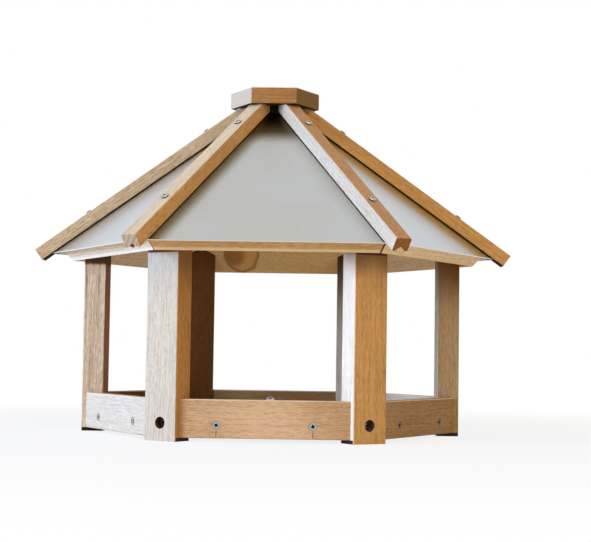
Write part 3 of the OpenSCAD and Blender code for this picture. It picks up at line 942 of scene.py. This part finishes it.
def make_all_screws():
    plated = bright_steel("plated_screw", PLATED_STEEL, 0.28, painted_dark=True)
    stainless = bright_steel("stainless_screw", STAINLESS_STEEL, 0.16, painted_dark=True)
    csk = screw_tree("countersunk_screw", CSK_OUTLINE, 0.0, 0.98)
    pan = screw_tree("pan_head_screw", PAN_OUTLINE, 1.0, 0.95)
    csk_sizes = {
        "Head Width": CSK_HEAD_D, "Head Height": CSK_HEAD_H, "Shank Width": SHANK_D,
        "Recess Width": CSK_RECESS_D, "Recess Depth": CSK_RECESS_DEPTH, "Metal": plated,
    }
    pan_sizes = {
        "Head Width": PAN_HEAD_D, "Head Height": PAN_HEAD_H, "Shank Width": SHANK_D,
        "Recess Width": PAN_RECESS_D, "Recess Depth": PAN_RECESS_DEPTH, "Metal": stainless,
    }
    for node, tree, sizes, length, seed, spots in (
        ("rail_screws", csk, csk_sizes, RAIL_SCREW_L, 3, rail_screw_spots()),
        ("eave_board_screws", csk, csk_sizes, BOARD_SCREW_L, 4, board_screw_spots()),
        ("cap_screw", csk, csk_sizes, CAP_SCREW_L, 5, cap_screw_spot()),
        ("batten_screws", pan, pan_sizes, BATTEN_SCREW_L, 6, batten_screw_spots()),
        ("post_screws", pan, pan_sizes, POST_SCREW_L, 7, post_screw_spots()),
    ):
        make_screws(node, tree, {**sizes, "Length": length, "Seed": seed}, spots)


# Finishing the solids: how single pieces differ from the plain ones of their kind

# Painted shade: the front right and back left rails get dark tones
RAIL_LOOKS = {
    "front_left": {"tone": "sand"},
    "front": {"tone": "wheat", "marks": (front_rail_patches, splits_under_screws(RIGHT))},
    "front_right": {"tone": "brown", "streaks": 1.1},
    "back": {"tone": "umber"},
    "back_left": {"tone": "heart"},
}
# Painted light: pale tones on the boards, chalk where the cool light falls, and a lit tone
BOARD_LOOKS = {
    "front": {
        "tone": "tan",
        "marks": (lit_edge_below_overhang(270), open_mitre(300, 0.8 * MM), open_mitre(240, 0.5 * MM)),
    },
    "front_left": {
        "tone": "chalk",
        "lit_tone": screen(212, 188, 170),
        "marks": (lit_edge_below_overhang(210, screen(240, 232, 224), 0.8), shade_spot_under_batten),
    },
    "front_right": {"tone": "cream", "marks": (lit_edge_below_overhang(330), open_mitre(300, 0.8 * MM))},
    "back": {"marks": (lit_edge_below_overhang(90), heart_of_knot)},
    "back_left": {"tone": "cream"},
    "back_right": {"tone": "cream"},
}
# Painted light in the lit tones; painted shade in the back left post's dark tone, heads and inner
# face
POST_LOOKS = {
    "left": {
        "tone": "straw", "streaks": 1.6, "gloss": 0.05,
        "marks": (dark_inner_face(180), rain_streaks),
    },
    "front_left": {"tone": "amber", "lit_tone": screen(203, 202, 197), "eave_shade": 76 * MM},
    "front_right": {
        "lit_tone": screen(236, 230, 224),
        "marks": (dark_head(300, 36 * MM, 0.5, screen(100, 66, 22)),),
    },
    "right": {"tone": "drab", "marks": (dark_head(0, 76 * MM, 0.92, screen(104, 60, 0)),)},
    "back_right": {"tone": "brown", "marks": (dark_head(60, 100 * MM, 0.9, screen(74, 28, 20)),)},
    "back_left": {"tone": "heart"},
}
# Painted light in the front left batten's lit tone
BATTEN_LOOKS = {
    "left": {"tone": "ash", "streaks": 1.5},
    "front_left": {"lit_tone": screen(208, 208, 198), "marks": ()},
    "front_right": {"tone": "wheat", "marks": ()},
}
# The front left sheet's paler tone and bright edge are painted light
SHEET_LOOKS = {
    "front": {"painted_marks": (batten_reflection(0.8), batten_reflection(0.15)), "line": 0.45},
    "front_left": {
        "tone": PAINTED_LIT_ZINC, "edge": BRIGHT_EDGE,
        "painted_marks": (batten_reflection(0.3, 30 * MM), batten_reflection(0.15)),
    },
    "front_right": {
        "tone": BLUE_ZINC,
        "painted_marks": (batten_reflection(0.15), batten_reflection(0.8, 56 * MM, PALE_BATTEN_REFLECTION)),
    },
}


def finish_node(name, material):
    """Gives a node of the house its finish."""
    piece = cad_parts[name]
    piece.data.materials.clear()
    piece.data.materials.append(material)


def finish_oak(node, along, face, seed, **look):
    finish_node(node, oak("oak_" + node, node, along, face, seed, **look))


def finish_rails_and_boards():
    for k, place in enumerate(SIDES):
        out = outward(side_angle(k))
        level = UP.cross(out)
        look = {"streaks": 0.6, **RAIL_LOOKS.get(place, {})}
        finish_oak("rail_" + place, level, out, 11 + k, **look)

        face = level.cross(up_slope(side_angle(k), ROOF_PITCH))
        # Painted light: the boards' pale honey tone
        look = {"tone": "honey", "streaks": 0.9, "marks": (lit_edge_below_overhang(side_angle(k)),)}
        look.update(BOARD_LOOKS.get(place, {}))
        finish_oak("eave_board_" + place, level, face, 31 + k, **look)


def finish_posts_and_battens():
    for k, place in enumerate(CORNERS):
        corner = corner_angle(k)
        out = outward(corner)
        look = {"streaks": 0.8, "eave_shade": 34 * MM, "marks": (), **POST_LOOKS.get(place, {})}
        look["marks"] += (shade_on_post(corner),)
        finish_oak("post_" + place, UP, out, 51 + k, corner=corner, **look)

        hip = up_slope(corner, HIP_PITCH)
        face = UP.cross(out).cross(hip)
        look = {"streaks": 0.9, "marks": (dark_underside(face), dark_lower_edge(face))}
        look.update(BATTEN_LOOKS.get(place, {}))
        finish_oak("ridge_batten_" + place, hip, face, 71 + k, **look)


def finish_floor_and_cap():
    finish_node("tray_floor", oak("oak_floor", "tray_floor", RIGHT, UP, 91))
    # Painted shade: the cap's dark russet tone, and one face darker still
    finish_node("roof_cap", oak("oak_cap", "roof_cap", RIGHT, UP, 92, "russet", 1.4,
                                marks=(shaded_face(-30, screen(102, 87, 33)),)))
    # Painted shade: the peak block is near black where it shows under the cap
    finish_oak("peak_block", UP, RIGHT, 93, tone="shade_black", gloss=0.05)


def finish_metal():
    for k, place in enumerate(SIDES):
        look = SHEET_LOOKS.get(place, {})
        finish_node("roof_sheet_" + place,
                    zinc("zinc_sheet_" + place, 101 + k, side_angle(k), **look))
    polished = bright_steel("polished_nut", POLISHED_STEEL, 0.22)
    finish_node("pole_washer", polished)
    finish_node("pole_dome_nut", polished)


# Studio

WHITE = (1, 1, 1, 1)
ROOM_LIGHT = (0.48, 0.36, 0.22, 1)
FLOOR_HALF = 8.0
HOUSE_MIDDLE = UP * 0.2


def make_floor():
    """A pale floor that the house stands on. Its shadow shows, and further out the floor fades to
    plain white."""
    mesh = bpy.data.meshes.new("floor")
    corners = [(x * FLOOR_HALF, y * FLOOR_HALF, 0) for x, y in ((-1, -1), (1, -1), (1, 1), (-1, 1))]
    mesh.from_pydata(corners, [], [(0, 1, 2, 3)])
    floor = bpy.data.objects.new("floor", mesh)
    bpy.context.scene.collection.objects.link(floor)
    shade = Finish("pale_floor")
    seen = shade.seen()
    far = shade.between(shade.distance_to((0, 0, 0)), 0.35, 1.0, 0.84, 1.0)
    shade.set("Base Color", shade.mix(seen, screen(250, 250, 248), screen(214, 226, 250)))
    shade.set("Roughness", 0.9)
    shade.set("Specular IOR Level", 0.0)
    white = shade.add("ShaderNodeEmission", {"Color": WHITE, "Strength": 1.0}).outputs[0]
    both = shade.add("ShaderNodeMixShader", {
        0: shade.times(far, seen), 1: shade.surface.outputs[0], 2: white,
    }).outputs[0]
    shade.give(shade.tree.nodes["Material Output"].inputs["Surface"], both)
    mesh.materials.append(shade.material)


def make_world():
    """White where the camera or a gloss looks, and a dimmer warm light for everything else."""
    world = bpy.data.worlds.new("studio")
    world.use_nodes = True
    room = Tree(world.node_tree)
    colour = room.mix(room.seen(), ROOM_LIGHT, WHITE)
    room.give(room.tree.nodes["Background"].inputs["Color"], colour)
    bpy.context.scene.world = world


def add_lamp(name, degrees, height, far, size, watts, colour, in_gloss=True):
    """A soft square lamp, aimed at the middle of the house. degrees is its angle round the house,
    height its angle over that middle, and in_gloss says whether the zinc mirrors it."""
    rise = math.radians(height)
    place = HOUSE_MIDDLE + (outward(degrees) * math.cos(rise) + UP * math.sin(rise)) * far
    light = bpy.data.lights.new(name, "AREA")
    light.shape = "SQUARE"
    light.size = size
    light.energy = watts
    light.color = colour
    lamp = bpy.data.objects.new(name, light)
    lamp.location = place
    lamp.rotation_euler = (HOUSE_MIDDLE - place).to_track_quat("-Z", "Y").to_euler()
    lamp.visible_glossy = in_gloss
    bpy.context.scene.collection.objects.link(lamp)


def make_lights():
    add_lamp("cool_window", degrees=206, height=11, far=4.0, size=1.8, watts=240,
             colour=(0.505, 0.7125, 1.0), in_gloss=False)
    add_lamp("warm_ceiling", degrees=288, height=38, far=2.6, size=0.9, watts=20,
             colour=(1.0, 0.80, 0.50))


def make_camera():
    """The photograph's viewpoint and lens, with a small roll and no shift."""
    place = Vector((47.1, -1664.4, 94.4)) * MM
    heading, lift, roll = 0.682, 3.271, -0.864
    turn = Matrix.Identity(3)
    for degrees, axis in ((heading, "Z"), (lift, "X"), (roll, "Y")):
        turn = turn @ Matrix.Rotation(math.radians(degrees), 3, axis)
    right, ahead, above = turn.col
    lens = bpy.data.cameras.new("camera")
    lens.sensor_width = 36
    lens.lens = 86.3
    camera = bpy.data.objects.new("camera", lens)
    axes = Matrix((right, above, -ahead)).transposed().to_4x4()
    camera.matrix_world = Matrix.Translation(place) @ axes
    bpy.context.scene.collection.objects.link(camera)
    bpy.context.scene.camera = camera


make_camera()
make_floor()
make_world()
make_lights()
finish_rails_and_boards()
finish_posts_and_battens()
finish_floor_and_cap()
finish_metal()
make_all_screws()
bpy.context.scene.view_settings.view_transform = "Standard"
